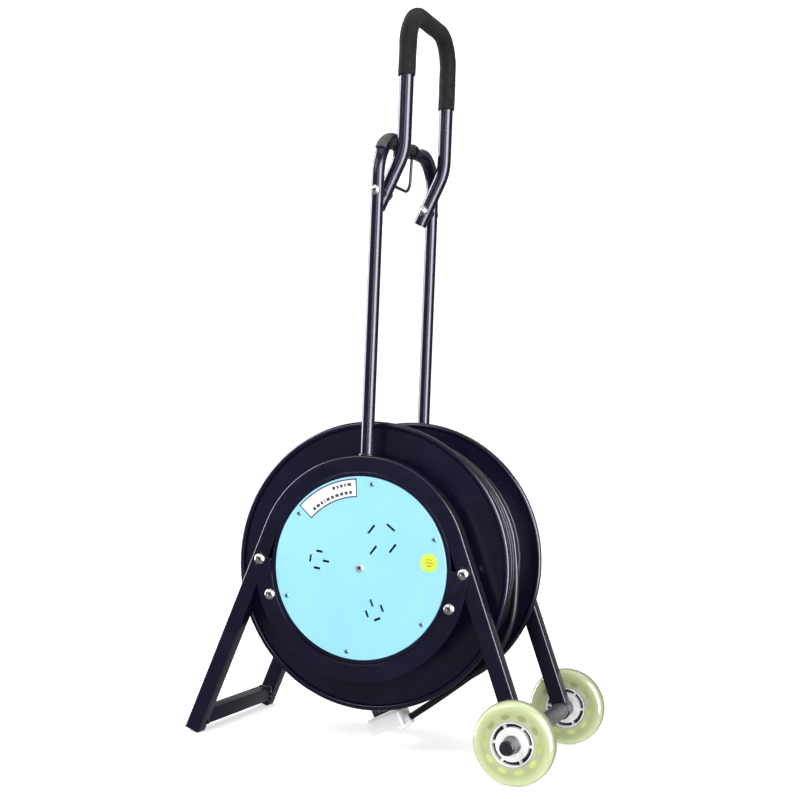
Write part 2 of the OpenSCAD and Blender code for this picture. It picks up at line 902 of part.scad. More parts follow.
module rounded(w, d, r) {
    union() {
        square([w - 2 * r, d], center = true);
        square([w, d - 2 * r], center = true);
        for (x = [-1, 1], y = [-1, 1]) translate([x * (w / 2 - r), y * (d / 2 - r)]) circle(r);
    }
}

// The plug leans on its lower left edge, held up at the other end by its cord
module at_plug() {
    translate([axis_x + plug_foot[0], plug_foot[1], 0]) rotate([0, -plug_tilt, 0]) children();
}

module plug_end() {
    translate([axis_x, 0, axis_h] + route[len(route) - 1])
        rotate([0, -90 - cord_slope, 0]) children();
}

module plug_body() {
    color(white) difference() {
        at_plug() translate([plug_w / 2, 0, 0]) {
            linear_extrude(plug_h - plug_lid) rounded(plug_w, plug_d, plug_corner);
            translate([0, 0, plug_h - plug_lid]) linear_extrude(plug_lid)
                rounded(plug_w - 2 * plug_step, plug_d - 2 * plug_step, plug_corner - plug_step + 1);
        }
        plug_end() translate([0, 0, -clamp_in]) cylinder(r = clamp_r, h = clamp_in + clamp_len);
    }
}

// Cable clamp between the plug and the cord
module plug_clamp() {
    color(white) plug_end() cylinder(r = clamp_r, h = clamp_len);
}

// Four flat blades in a ring on the plug's face
module plug_blades() {
    color(grey) at_plug() translate([blade_at, 0, plug_h]) rotate([0, 0, 45])
        for (a = [0:90:270]) rotate([0, 0, a])
            translate([blade_ring - blade[0] / 2, -blade[1] / 2, 0]) cube(blade);
}

front_frame();
rear_frame();
front_lower_hoop();
rear_lower_hoop();
joint_plates();
hoop_bolts();
hoop_nuts();
foot_plugs();
foot_crossbar();
axle_tube();
axle_rod();
axle_collars();
axle_caps();
front_bearing_ring();
rear_bearing_ring();
main_handle();
handle_welds();
arch_buffers();
pivot_bolts();
pivot_nuts();
pivot_washers();
front_tyre();
front_wheel_hub();
front_wheel_bearings();
rear_tyre();
rear_wheel_hub();
rear_wheel_bearings();
front_flange();
rear_flange();
drum_core();
front_hub();
rear_hub();
hub_bolts();
socket_panel();
large_socket();
left_socket();
lower_socket();
socket_contacts();
panel_screws();
panel_label();
panel_sticker();
tie_rod();
tie_rod_nuts();
terminal_block();
core_gland();
cable_winding();
rear_cover();
cover_screws();
crank_bracket();
crank_pin();
crank_shank();
crank_grip();
loop_handle();
foam_grip();
lock_bail();
free_cord();
plug_body();
plug_blades();
plug_clamp();
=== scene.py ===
import json
import math
import random

import bmesh
import bpy
from mathutils import Matrix, Vector, noise


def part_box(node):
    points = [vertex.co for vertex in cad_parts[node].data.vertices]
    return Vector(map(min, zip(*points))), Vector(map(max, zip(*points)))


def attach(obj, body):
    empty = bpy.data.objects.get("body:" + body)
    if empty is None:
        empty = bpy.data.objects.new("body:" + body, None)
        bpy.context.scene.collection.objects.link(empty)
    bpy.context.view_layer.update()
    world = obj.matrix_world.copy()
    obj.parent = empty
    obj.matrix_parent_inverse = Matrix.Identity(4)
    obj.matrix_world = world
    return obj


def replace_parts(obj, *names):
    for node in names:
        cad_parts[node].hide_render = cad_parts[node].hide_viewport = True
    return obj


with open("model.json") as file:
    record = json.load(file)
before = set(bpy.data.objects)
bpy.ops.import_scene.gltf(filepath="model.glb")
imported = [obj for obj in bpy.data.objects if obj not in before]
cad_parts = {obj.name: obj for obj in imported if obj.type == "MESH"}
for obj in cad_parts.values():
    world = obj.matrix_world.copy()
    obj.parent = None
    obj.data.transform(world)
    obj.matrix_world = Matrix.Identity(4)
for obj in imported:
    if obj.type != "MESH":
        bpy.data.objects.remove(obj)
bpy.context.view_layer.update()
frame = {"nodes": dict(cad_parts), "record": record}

# ---- places and sizes, in metres, from the frame ----------------------------------------------


def middle(node):
    low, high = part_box(node)
    return (Vector(low) + Vector(high)) / 2


def extent(node):
    low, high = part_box(node)
    return Vector(high) - Vector(low)


AXIS = Vector((middle("drum_core").x, 0, middle("drum_core").z))
CORE_R = extent("drum_core").x / 2
WHEEL_R = extent("front_tyre").x / 2
WHEEL_W = extent("front_tyre").y
HUB_R = extent("front_wheel_hub").x / 2
PANEL_R = extent("socket_panel").x / 2
PANEL_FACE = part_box("socket_panel")[0][1]
PLATE_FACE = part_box("joint_plates")[0][1]
ARCH_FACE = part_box("main_handle")[0][1]
TUBE = extent("front_frame").y
FRAME_Y = abs(middle("front_frame").y)
CORD_R = 0.0045

# The standing frame's own proportions, the same as the CAD's
LEAN = math.radians(1.8)
LEG_ANGLE = math.radians(20.9)
HOOP_MID = 0.128
RIGHT_LEG = 0.2503
LEFT_LEG = 0.2845
HOOP_BOLTS = ((0.134, 0.002), (0.118, -0.041))
PIVOT_H = 0.4652
SCREW_PCR = 0.104

# The camera's place from the drum's axis, its yaw, pitch and roll in degrees, and its lens in mm
CAMERA_FROM = (0.6662, -1.8307, 0.2067)
CAMERA_TURN = (20.11, 0.09, 3.95)
CAMERA_LENS = 67.53


def in_frame(x, y, z):
    """A point given in the leaning frame, from the drum's axis."""
    c, s = math.cos(LEAN), math.sin(LEAN)
    return AXIS + Vector((x * c - z * s, y, x * s + z * c))


# ---- camera ------------------------------------------------------------------------------------


def make_camera():
    """The viewpoint: a little above the drum, turned to the wheels' side, with a small roll."""
    yaw, pitch, roll = map(math.radians, CAMERA_TURN)
    forward = Vector((-math.sin(yaw) * math.cos(pitch), math.cos(yaw) * math.cos(pitch), math.sin(pitch)))
    right = Vector((math.cos(yaw), math.sin(yaw), 0))
    up = right.cross(forward)
    tilted_right = math.cos(roll) * right + math.sin(roll) * up
    tilted_up = math.cos(roll) * up - math.sin(roll) * right
    data = bpy.data.cameras.new("camera")
    data.sensor_width = 36
    data.lens = CAMERA_LENS
    camera = bpy.data.objects.new("camera", data)
    bpy.context.collection.objects.link(camera)
    turn = Matrix((tilted_right, tilted_up, -forward)).transposed().to_4x4()
    camera.matrix_world = Matrix.Translation(AXIS + Vector(CAMERA_FROM)) @ turn
    bpy.context.scene.camera = camera


make_camera()

# ---- materials ---------------------------------------------------------------------------------


class Shader:
    """A Principled material with short calls that add nodes to it."""

    def __init__(self, name, **values):
        self.material = bpy.data.materials.new(name)
        self.material.use_nodes = True
        self.tree = self.material.node_tree
        self.main = self.tree.nodes["Principled BSDF"]
        self.place = self.node("ShaderNodeTexCoord").outputs["Object"]
        parts = self.node("ShaderNodeSeparateXYZ")
        self.link(self.place, parts.inputs["Vector"])
        self.across, self.up = parts.outputs["Y"], parts.outputs["Z"]
        for key, value in values.items():
            self.main.inputs[key.replace("_", " ")].default_value = value

    def node(self, kind, **settings):
        made = self.tree.nodes.new(kind)
        for key, value in settings.items():
            setattr(made, key, value)
        return made

    def link(self, source, target):
        self.tree.links.new(source, target)

    def put(self, source, socket):
        self.link(source, self.main.inputs[socket])

    def noise(self, scale, detail=3, rough=0.5, stretch=None):
        made = self.node("ShaderNodeTexNoise")
        made.inputs["Scale"].default_value = scale
        made.inputs["Detail"].default_value = detail
        made.inputs["Roughness"].default_value = rough
        where = self.place
        if stretch:
            mapping = self.node("ShaderNodeMapping")
            mapping.inputs["Scale"].default_value = stretch
            self.link(where, mapping.inputs["Vector"])
            where = mapping.outputs["Vector"]
        self.link(where, made.inputs["Vector"])
        return made.outputs["Fac"]

    def cells(self, scale, feature="F1"):
        made = self.node("ShaderNodeTexVoronoi", feature=feature)
        made.inputs["Scale"].default_value = scale
        self.link(self.place, made.inputs["Vector"])
        return made.outputs["Distance"]

    def span(self, source, from_low, from_high, to_low, to_high):
        made = self.node("ShaderNodeMapRange")
        for key, value in zip(("From Min", "From Max", "To Min", "To Max"),
                              (from_low, from_high, to_low, to_high)):
            made.inputs[key].default_value = value
        self.link(source, made.inputs["Value"])
        return made.outputs["Result"]

    def math(self, kind, a, b=0.0):
        made = self.node("ShaderNodeMath", operation=kind)
        for socket, value in zip(made.inputs, (a, b)):
            if isinstance(value, (int, float)):
                socket.default_value = value
            else:
                self.link(value, socket)
        return made.outputs["Value"]

    def mix(self, factor, a, b):
        made = self.node("ShaderNodeMix", data_type="RGBA")
        self.link(factor, made.inputs["Factor"])
        for socket, value in ((made.inputs[6], a), (made.inputs[7], b)):
            if isinstance(value, tuple):
                socket.default_value = (*value, 1)
            else:
                self.link(value, socket)
        return made.outputs[2]

    def bump(self, height, strength, distance):
        made = self.node("ShaderNodeBump")
        made.inputs["Strength"].default_value = strength
        made.inputs["Distance"].default_value = distance
        self.link(height, made.inputs["Height"])
        self.put(made.outputs["Normal"], "Normal")

    def height(self, centre):
        """Height over a centre, in the object's own frame."""
        return self.math("SUBTRACT", self.up, centre.z)

    def axis_parts(self, centre):
        """Radius and angle round an axis along Y through a centre."""
        mapping = self.node("ShaderNodeMapping")
        mapping.inputs["Location"].default_value = [-v for v in centre]
        self.link(self.place, mapping.inputs["Vector"])
        parts = self.node("ShaderNodeSeparateXYZ")
        self.link(mapping.outputs["Vector"], parts.inputs["Vector"])
        x, z = parts.outputs["X"], parts.outputs["Z"]
        radius = self.math("SQRT", self.math("ADD", self.math("MULTIPLY", x, x), self.math("MULTIPLY", z, z)))
        return radius, self.math("ARCTAN2", z, x)


def powder_coat():
    """Navy powder coat: deep and semi-gloss, faintly cloudy, with fine orange peel and a few specks."""
    s = Shader("navy_powder_coat", Specular_IOR_Level=0.3)
    tone = s.mix(s.span(s.noise(9, 4), 0.35, 0.65, 0, 1), (0.0022, 0.0019, 0.0105), (0.0042, 0.0036, 0.0180))
    dust = s.span(s.noise(900, 2, 0.6), 0.74, 0.82, 0, 0.22)
    s.put(s.mix(dust, tone, (0.07, 0.07, 0.11)), "Base Color")
    s.put(s.span(s.noise(38, 4, 0.6), 0.3, 0.7, 0.19, 0.29), "Roughness")
    s.bump(s.noise(620, 2), 0.05, 0.0001)
    return s.material


def bright_zinc():
    """Zinc-plated steel: warm and pale, with small stains."""
    s = Shader("bright_zinc", Metallic=1.0)
    stain = s.span(s.noise(160, 4, 0.7), 0.3, 0.7, 0, 1)
    s.put(s.mix(stain, (0.40, 0.37, 0.36), (0.66, 0.62, 0.59)), "Base Color")
    s.put(s.span(s.noise(260, 3), 0.3, 0.7, 0.20, 0.34), "Roughness")
    s.bump(s.noise(700, 2), 0.03, 0.0001)
    return s.material


def dull_plate(name, dark, light):
    """Dull plated metal, mottled between two tones."""
    s = Shader(name, Metallic=0.6)
    s.put(s.mix(s.span(s.noise(420, 4, 0.7), 0.35, 0.65, 0, 1), dark, light), "Base Color")
    s.put(s.span(s.noise(260, 3), 0.3, 0.7, 0.35, 0.5), "Roughness")
    s.bump(s.noise(700, 2), 0.04, 0.0001)
    return s.material


def grey_steel():
    """Plain grey steel of the axle and crank, with dark mill marks."""
    s = Shader("grey_steel", Metallic=0.85)
    marks = s.span(s.noise(70, 5, 0.7), 0.35, 0.65, 0, 1)
    s.put(s.mix(marks, (0.10, 0.10, 0.108), (0.22, 0.22, 0.23)), "Base Color")
    s.put(s.span(s.noise(120, 4), 0.3, 0.7, 0.3, 0.46), "Roughness")
    s.bump(s.noise(500, 3, 0.6, (1, 14, 1)), 0.08, 0.0001)
    return s.material


def moulded(name, dark, light, rough_low, rough_high, grain=900, depth=0.00012, **values):
    """Moulded plastic or rubber: near-even colour, slight mottling and a fine texture."""
    s = Shader(name, **values)
    s.put(s.mix(s.span(s.noise(24, 4), 0.35, 0.65, 0, 1), dark, light), "Base Color")
    s.put(s.span(s.noise(55, 4, 0.6), 0.3, 0.7, rough_low, rough_high), "Roughness")
    s.bump(s.noise(grain, 2), 0.25, depth)
    return s.material


def cable_jacket():
    """Black cable jacket with a slight polish and fine scuffs from being wound."""
    s = Shader("cable_jacket", Specular_IOR_Level=0.3)
    scuff = s.span(s.noise(210, 5, 0.7), 0.60, 0.76, 0, 0.4)
    s.put(s.mix(scuff, (0.004, 0.004, 0.0055), (0.024, 0.024, 0.027)), "Base Color")
    s.put(s.span(s.noise(80, 4), 0.3, 0.7, 0.28, 0.44), "Roughness")
    s.bump(s.noise(520, 3), 0.12, 0.0001)
    return s.material


def closed_cell_foam():
    """Dark grey-brown foam with small open cells, painted darker in their hollows as painted shade, and a
    slightly worn skin.
    """
    s = Shader("foam", Specular_IOR_Level=0.1, Sheen_Weight=0.02, Sheen_Roughness=0.5)
    cell = s.cells(1150)
    wear = s.span(s.noise(30, 5, 0.65), 0.35, 0.68, 0, 1)
    tone = s.mix(wear, (0.0050, 0.0044, 0.0043), (0.0125, 0.0115, 0.0112))
    # Painted shade: the cells' hollows are painted near-black.
    s.put(s.mix(s.span(cell, 0.0, 0.28, 0.75, 0.0), tone, (0.004, 0.004, 0.004)), "Base Color")
    s.put(s.span(s.noise(90, 3), 0.3, 0.7, 0.72, 0.92), "Roughness")
    s.bump(s.math("ADD", cell, s.noise(320, 3)), 0.5, 0.0004)
    return s.material


def soft_tyre(name, centre):
    """Cast polyurethane: pale yellow-green, milky near the hub, with the core's windows inside, painted
    bright low down and dark high up as painted light and shade.
    """
    s = Shader(name, Subsurface_Weight=0.3, Subsurface_Scale=0.008, Transmission_Weight=0.06, IOR=1.49,
               Coat_Weight=0.4, Coat_Roughness=0.08)
    s.main.inputs["Subsurface Radius"].default_value = (1.0, 1.0, 0.55)
    radius, angle = s.axis_parts(centre)
    windows = 10
    first = math.radians(1)
    shifted = s.math("ADD", angle, 2 * math.tau - first + math.pi / windows)
    share = s.math("FRACT", s.math("MULTIPLY", shifted, windows / math.tau))
    turn = s.math("MULTIPLY", s.math("ABSOLUTE", s.math("SUBTRACT", share, 0.5)), 2)
    along = s.math("DIVIDE", turn, 0.60)
    across = s.math("DIVIDE", s.math("SUBTRACT", radius, 0.0325), 0.0034)
    oval = s.math("ADD", s.math("MULTIPLY", along, along), s.math("MULTIPLY", across, across))
    patch = s.span(oval, 0.55, 1.25, 1, 0)
    body = s.mix(s.span(radius, 0.027, 0.034, 0, 1), (0.44, 0.46, 0.34), (0.40, 0.445, 0.215))
    body = s.mix(s.span(radius, 0.037, 0.047, 0, 1), body, (0.62, 0.69, 0.41))
    body = s.mix(s.span(radius, 0.0486, 0.0496, 0, 1), body, (0.34, 0.39, 0.23))
    body = s.mix(s.span(s.noise(26, 4), 0.35, 0.7, 0, 0.35), body, (0.50, 0.55, 0.30))
    # Painted light and shade: the windows go from bright yellow-green low down to dark olive high up.
    window_painted_light = s.mix(s.span(s.height(centre), -0.012, 0.016, 0, 1), (0.62, 0.68, 0.20), (0.25, 0.29, 0.10))
    s.put(s.mix(s.math("MULTIPLY", patch, 0.75), body, window_painted_light), "Base Color")
    s.put(s.span(s.noise(60, 4), 0.3, 0.7, 0.12, 0.26), "Roughness")
    s.bump(s.noise(180, 3), 0.06, 0.0002)
    return s.material


def speckled_nylon():
    """White moulded hub with small dark specks, painted black as painted shade in the deep recess round the
    boss.
    """
    s = Shader("speckled_nylon")
    tone = s.mix(s.span(s.noise(40, 4), 0.35, 0.65, 0, 1), (0.62, 0.62, 0.62), (0.82, 0.82, 0.81))
    speck = s.span(s.noise(560, 3, 0.7), 0.57, 0.67, 0, 0.8)
    tone = s.mix(speck, tone, (0.09, 0.09, 0.10))
    # Painted shade: the deep recess round the boss is painted near-black.
    deep = s.span(s.math("ABSOLUTE", s.math("SUBTRACT", s.math("ABSOLUTE", s.across), middle("rear_tyre").y)),
                  0.0030, 0.0050, 1, 0)
    radius = s.axis_parts(middle("front_tyre"))[0]
    gap_shade = s.math("MULTIPLY", deep, s.span(radius, 0.0192, 0.0198, 0, 1))
    s.put(s.mix(gap_shade, tone, (0.006, 0.006, 0.007)), "Base Color")
    s.put(s.span(s.noise(90, 3), 0.3, 0.7, 0.34, 0.52), "Roughness")
    s.bump(s.noise(480, 3), 0.15, 0.0002)
    return s.material


def cyan_plastic():
    """Pale cyan panel: satin, very even, with faint moulding flow and hairline scuffs."""
    s = Shader("cyan_plastic", Specular_IOR_Level=0.4, Coat_Weight=0.15, Coat_Roughness=0.2)
    tone = s.mix(s.span(s.noise(7, 3), 0.35, 0.65, 0, 1), (0.236, 0.55, 0.745), (0.264, 0.58, 0.775))
    scuff = s.span(s.noise(140, 4, 0.7, (1, 1, 7)), 0.68, 0.78, 0, 0.25)
    s.put(s.mix(scuff, tone, (0.50, 0.90, 0.96)), "Base Color")
    s.put(s.span(s.noise(30, 4), 0.3, 0.7, 0.30, 0.42), "Roughness")
    s.bump(s.noise(1100, 2), 0.08, 0.0001)
    return s.material


MATERIALS = {
    "navy_powder_coat": powder_coat(),
    "bright_zinc": bright_zinc(),
    "grey_steel": grey_steel(),
    "black_plastic": moulded("black_plastic", (0.006, 0.006, 0.0075), (0.013, 0.013, 0.015), 0.32, 0.5,
                             Specular_IOR_Level=0.25),
    "black_rubber": moulded("black_rubber", (0.012, 0.012, 0.013), (0.024, 0.024, 0.025), 0.5, 0.7,
                            620, 0.0003),
    "cable_jacket": cable_jacket(),
    "foam": closed_cell_foam(),
    "white_nylon": speckled_nylon(),
    "cyan_panel": cyan_plastic(),
    "white_plastic": moulded("white_plastic", (0.92, 0.92, 0.915), (0.965, 0.965, 0.96), 0.28, 0.42,
                             1300, 0.00005),
    "label": moulded("label_film", (0.86, 0.86, 0.86), (0.93, 0.93, 0.92), 0.3, 0.42, 1500, 0.00005),
    "sticker": moulded("sticker_film", (0.44, 0.66, 0.03), (0.58, 0.78, 0.05), 0.25, 0.4, 900, 0.00005),
    "brass": moulded("brass", (0.48, 0.34, 0.12), (0.66, 0.50, 0.20), 0.25, 0.45, 500, 0.0001, Metallic=1.0),
}
TYRES = {side: soft_tyre(side + "_polyurethane", middle(side + "_tyre")) for side in ("front", "rear")}
# The panel screws' dark teal tone is painted shade of their countersinks and a painted reflection of the cyan
# panel.
SCREW = dull_plate("panel_screw_shade_and_reflection", (0.10, 0.22, 0.25), (0.26, 0.44, 0.48))
RIVET = dull_plate("centre_rivet_plate", (0.30, 0.36, 0.37), (0.48, 0.54, 0.54))
RECESS = moulded("recess_shadow", (0.006, 0.006, 0.007), (0.014, 0.014, 0.015), 0.5, 0.7, 900, 0.00005)
BLADE = dull_plate("blackened_blade", (0.010, 0.010, 0.012), (0.030, 0.030, 0.034))
INK = moulded("print_ink", (0.030, 0.032, 0.040), (0.055, 0.056, 0.066), 0.45, 0.6, 1200, 0.00005)
STICKER_INK = moulded("sticker_ink", (0.10, 0.16, 0.01), (0.62, 0.44, 0.02), 0.35, 0.5, 1200, 0.00005)

BODIES = frame["record"]["behaviour"]["bodies"]
SLOT_OF = {s["node"]: s["material_slot"] for s in frame["record"]["subparts"]}


def dress_nodes():
    """Gives every carried-over CAD node the material of its slot."""
    for name, node in frame["nodes"].items():
        side = name.split("_")[0]
        slot = SLOT_OF[name]
        node.data.materials.clear()
        node.data.materials.append(TYRES[side] if slot == "clear_tyre" else MATERIALS[slot])


dress_nodes()

# ---- mesh helpers ------------------------------------------------------------------------------


def piece(name, verts, faces, body, slot, material=None, crease=35):
    """A new mesh piece that rides on a body."""
    mesh = bpy.data.meshes.new(name)
    mesh.from_pydata([tuple(v) for v in verts], [], faces)
    work = bmesh.new()
    work.from_mesh(mesh)
    bmesh.ops.recalc_face_normals(work, faces=work.faces)
    work.to_mesh(mesh)
    work.free()
    mesh.shade_smooth()
    mesh.set_sharp_from_angle(angle=math.radians(crease))
    mesh.materials.append(material or MATERIALS[slot])
    made = bpy.data.objects.new(name, mesh)
    bpy.context.collection.objects.link(made)
    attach(made, body)
    return made


def tube_mesh(path, profile, side=None):
    """Vertices and faces of a profile carried along a path. profile(t) gives (out, side) pairs."""
    count = len(path)
    verts, rings = [], []
    lateral = side or (path[1] - path[0]).orthogonal().normalized()
    for i, point in enumerate(path):
        along = (path[min(i + 1, count - 1)] - path[max(i - 1, 0)]).normalized()
        if side is None:
            lateral = (lateral - lateral.dot(along) * along).normalized()
        out = along.cross(lateral).normalized()
        ring = [point + out * a + lateral * b for a, b in profile(i / (count - 1))]
        rings.append(range(len(verts), len(verts) + len(ring)))
        verts.extend(ring)
    faces = []
    for first, second in zip(rings, rings[1:]):
        n = len(first)
        for k in range(n):
            faces.append((first[k], first[(k + 1) % n], second[(k + 1) % n], second[k]))
    faces.append(tuple(reversed(rings[0])))
    faces.append(tuple(rings[-1]))
    return verts, faces


def circle(radius, steps):
    return [(radius * math.cos(math.tau * k / steps), radius * math.sin(math.tau * k / steps))
            for k in range(steps)]


def rounded_square(half, outer, inner, flip=1, steps=4):
    """Points round a square with one corner radius on its outer side and another on its inner side."""
    points = []
    for quarter, (a, b) in enumerate(((1, 1), (-1, 1), (-1, -1), (1, -1))):
        corner = outer if a * flip > 0 else inner
        for k in range(steps + 1):
            angle = math.radians(90 * quarter + 90 * k / steps)
            points.append((a * (half - corner) + corner * math.cos(angle),
                           b * (half - corner) + corner * math.sin(angle)))
    return points


def lathe(centre, profile, steps):
    """Vertices and faces of a closed profile of (radius, y) pairs turned round an axis along Y."""
    n = len(profile)
    verts = [centre + Vector((r * math.cos(math.tau * i / steps), y, r * math.sin(math.tau * i / steps)))
             for i in range(steps) for r, y in profile]
    faces = [(i * n + k, i * n + (k + 1) % n, (i + 1) % steps * n + (k + 1) % n, (i + 1) % steps * n + k)
             for i in range(steps) for k in range(n)]
    return verts, faces


def join(parts):
    """One list of vertices and faces from several."""
    verts, faces = [], []
    for more_verts, more_faces in parts:
        faces.extend(tuple(i + len(verts) for i in face) for face in more_faces)
        verts.extend(more_verts)
    return verts, faces


def bevelled(node, width, segments=2, angle=40):
    """Stands a copy of a CAD node in its place, with its sharp edges rounded over."""
    source = frame["nodes"][node]
    mesh = source.data.copy()
    work = bmesh.new()
    work.from_mesh(mesh)
    bmesh.ops.remove_doubles(work, verts=work.verts, dist=1e-6)
    bmesh.ops.dissolve_limit(work, angle_limit=math.radians(0.4), verts=work.verts, edges=work.edges)
    work.to_mesh(mesh)
    work.free()
    mesh.shade_smooth()
    made = bpy.data.objects.new(node + "_rounded", mesh)
    bpy.context.collection.objects.link(made)
    rounding = made.modifiers.new("bevel", "BEVEL")
    rounding.width = width
    rounding.segments = segments
    rounding.limit_method = "ANGLE"
    rounding.angle_limit = math.radians(angle)
    graph = bpy.context.evaluated_depsgraph_get()
    final = bpy.data.meshes.new_from_object(made.evaluated_get(graph))
    made.modifiers.clear()
    made.data = final
    final.set_sharp_from_angle(angle=math.radians(32))
    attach(made, next(b for b, names in BODIES.items() if node in names))
    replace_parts(made, node)
    return made


# ---- free cord and plug ------------------------------------------------------------------------

# From the drum's last turn, down the right side and under the drum to the plug on the floor
ROUTE = [(28, 17, 158), (68, 17, 145), (103, 17, 123), (131, 17, 92), (151, 17, 55), (160, 17, 14),
         (163, 17, -22), (161, 17, -60), (150, 17, -93), (133, 17, -119), (108, 17, -141),
         (82, 16, -163), (60, 15, -181), (46, 14, -192), (36, 14, -200)]
CORD_PATH = [AXIS + Vector(p) / 1000 for p in ROUTE]


def smooth_path(points, steps):
    """Points on a Catmull-Rom curve through a route."""
    last = len(points) - 1
    made = []
    for i in range(last):
        a, b, c, d = points[max(i - 1, 0)], points[i], points[i + 1], points[min(i + 2, last)]
        for k in range(steps):
            t = k / steps
            made.append((2 * b + (c - a) * t + (2 * a - 5 * b + 4 * c - d) * t * t
                         + (3 * b - a - 3 * c + d) * t ** 3) / 2)
    return made + [points[last]]


def free_cord():
    """The end of the wound cable that hangs off the drum, with its plug on the floor."""
    points = smooth_path(CORD_PATH, 6)
    curve = bpy.data.curves.new("free_cord_jacket", "CURVE")
    curve.dimensions = "3D"
    curve.bevel_depth = CORD_R
    curve.bevel_resolution = 5
    curve.use_fill_caps = True
    spline = curve.splines.new("POLY")
    spline.points.add(len(points) - 1)
    for point, place in zip(spline.points, points):
        point.co = (*place, 1)
    spline.use_smooth = True
    curve.materials.append(MATERIALS["cable_jacket"])
    made = bpy.data.objects.new("free_cord_jacket", curve)
    bpy.context.collection.objects.link(made)
    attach(made, "stand")
    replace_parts(made, "free_cord")
    blades = bevelled("plug_blades", 0.0004, 2)
    blades.data.materials[0] = BLADE
    plug = [bevelled("plug_body", 0.0015, 3), bevelled("plug_clamp", 0.001, 2), blades]


free_cord()

# ---- cable on the drum -------------------------------------------------------------------------


def ease(t):
    t = min(max(t, 0), 1)
    return t * t * (3 - 2 * t)


def winding_turns():
    """Every turn of the stored cable: (layer radius, y) per turn, and the end of the last turn."""
    side = 0.0682
    full = 16
    pitch = 2 * side / (full - 1)
    turns = []
    for layer in range(5):
        radius = CORE_R + CORD_R + 0.0085 * layer
        rows = [side - pitch * j for j in range(full)]
        turns += [(radius, y) for y in (rows if layer % 2 == 0 else reversed(rows))]
    top = CORE_R + CORD_R + 0.043
    loose_pitch = 0.0095
    turns += [(top, -side + loose_pitch * j) for j in range(9)]
    return turns, (top, 0.017)


def cable_winding():
    """The stored cable, wound layer on layer, whose last turn meets the free end."""
    turns, end = winding_turns()
    steps = 44
    end_angle = math.atan2(ROUTE[0][2], ROUTE[0][0])
    crossover = 0.2
    path = []
    for i in range(len(turns) * steps + 1):
        turn, part = divmod(i / steps, 1)
        here = turns[min(int(turn), len(turns) - 1)]
        after = turns[int(turn) + 1] if turn + 1 < len(turns) else end
        if turn >= len(turns):
            here, part = end, 0
        blend = ease((part - 1 + crossover) / crossover)
        radius = here[0] + (after[0] - here[0]) * blend
        y = here[1] + (after[1] - here[1]) * blend
        angle = end_angle + math.tau * (len(turns) - i / steps)
        wobble = 0.00025 * math.sin(2.3 * angle + 1.7 * turn)
        radius += wobble
        path.append(AXIS + Vector((radius * math.cos(angle), y, radius * math.sin(angle))))
    ring = circle(CORD_R - 0.00005, 10)
    verts, faces = tube_mesh(path, lambda t: ring, None)
    made = piece("stored_cable", verts, faces, "drum", "cable_jacket", crease=60)
    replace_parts(made, "cable_winding")


cable_winding()

# ---- standing frame ----------------------------------------------------------------------------


def leg_point(side, reach, y):
    """A point on a leg's centre line, a reach down from the arc's end; side is +1 or -1."""
    x = HOOP_MID * math.cos(LEG_ANGLE) + reach * math.sin(LEG_ANGLE)
    z = HOOP_MID * math.sin(LEG_ANGLE) - reach * math.cos(LEG_ANGLE)
    return in_frame(side * x, y, z)


def arc_point(angle, y):
    return in_frame(HOOP_MID * math.cos(angle), y, HOOP_MID * math.sin(angle))


def standing_frame(node, y):
    """Square tube with rolled corners: down one leg, over the drum and down the other."""
    half = TUBE / 2
    path = [leg_point(-1, LEFT_LEG * k / 6, y) for k in range(6, 0, -1)]
    arc = 48
    path += [arc_point(math.pi - LEG_ANGLE - (math.pi - 2 * LEG_ANGLE) * k / arc, y) for k in range(arc + 1)]
    path += [leg_point(1, RIGHT_LEG * k / 6, y) for k in range(1, 7)]
    profile = rounded_square(half, 0.0022, 0.0005)
    verts, faces = tube_mesh(path, lambda t: profile, Vector((0, 1, 0)))
    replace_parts(piece(node + "_tube", verts, faces, "stand", "navy_powder_coat"), node)


def lower_hoop(node, y):
    """The hoop's lower half, let into the legs and a hair thinner than they are."""
    half = TUBE / 2 - 0.0002
    start, end = math.radians(186), math.radians(354)
    arc = 60
    path = [arc_point(start + (end - start) * k / arc, y) for k in range(arc + 1)]
    profile = rounded_square(half, 0.0022, 0.0005, flip=-1)
    verts, faces = tube_mesh(path, lambda t: profile, Vector((0, 1, 0)))
    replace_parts(piece(node + "_tube", verts, faces, "stand", "navy_powder_coat"), node)


for name, y in (("front", -FRAME_Y), ("rear", FRAME_Y)):
    standing_frame(name + "_frame", y)
    lower_hoop(name + "_lower_hoop", y)

for name in ("joint_plates", "foot_crossbar"):
    bevelled(name, 0.0010, 2)
for name in ("foot_plugs", "axle_caps", "axle_collars", "crank_bracket", "rear_cover", "large_socket",
             "hoop_nuts", "front_wheel_hub", "rear_wheel_hub", "front_bearing_ring", "rear_bearing_ring",
             "arch_buffers"):
    bevelled(name, 0.0005, 2)


def axle_tube():
    """The axle's tube, a hair longer than the legs are apart, with its ends rounded over."""
    end = extent("axle_tube").y / 2 + 0.0004
    outer, inner, edge = extent("axle_tube").x / 2, extent("axle_rod").x / 2, 0.0007
    profile = [(inner, -end), (outer - edge, -end), (outer, -end + edge),
               (outer, end - edge), (outer - edge, end), (inner, end)]
    verts, faces = lathe(middle("axle_tube"), profile, 48)
    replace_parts(piece("axle_sleeve", verts, faces, "stand", "grey_steel"), "axle_tube")


axle_tube()

# ---- socket panel ------------------------------------------------------------------------------


